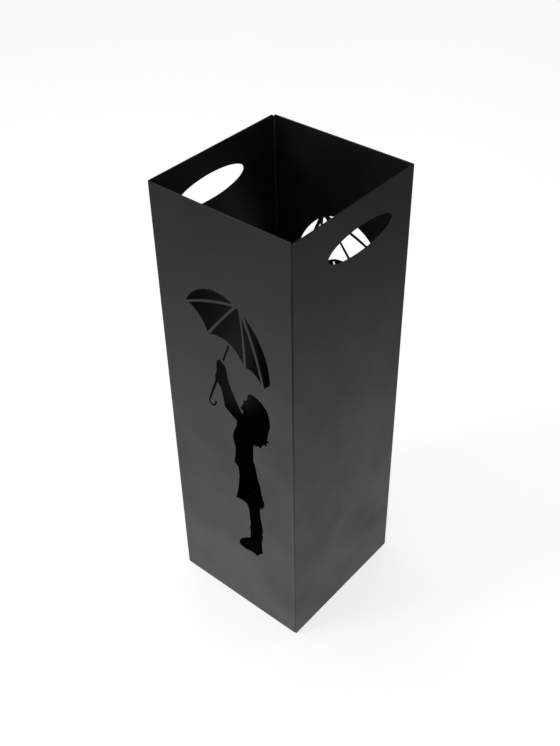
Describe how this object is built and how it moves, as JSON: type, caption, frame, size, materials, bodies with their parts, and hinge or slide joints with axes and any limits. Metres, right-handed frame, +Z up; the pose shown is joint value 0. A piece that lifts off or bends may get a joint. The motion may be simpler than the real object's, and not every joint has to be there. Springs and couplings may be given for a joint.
{
  "type": "umbrella stand",
  "caption": "Tall square umbrella stand of folded sheet steel with oval hand-holes, a cut-out picture of a child under an umbrella and a lift-out drip tray.",
  "frame": {"origin": "middle of the stand's footprint, on the floor under the feet", "axes": "+Z up; the front picture wall faces -Y; +X towards the right-hand handle wall seen from the front"},
  "size_m": [0.16, 0.165, 0.49],
  "materials": {
    "coated_steel": "fine satin black powder coat",
    "coated_steel_inside": "satin black powder coat, thinner inside",
    "tray_plastic": "moulded black plastic, fine texture",
    "foot_rubber": "matt black rubber"
  },
  "bodies": {
    "stand": {"front_left_shell": "coated_steel", "rear_right_shell": "coated_steel", "base_pan": "coated_steel_inside", "foot_front_left": "foot_rubber", "foot_front_right": "foot_rubber", "foot_rear_left": "foot_rubber", "foot_rear_right": "foot_rubber"},
    "tray": {"drip_tray": "tray_plastic"}
  },
  "joints": [
    {"name": "tray_lift", "type": "slide", "parent": "stand", "child": "tray", "axis": [0, 0, 1], "range_m": [0, 0.5]}
  ]
}
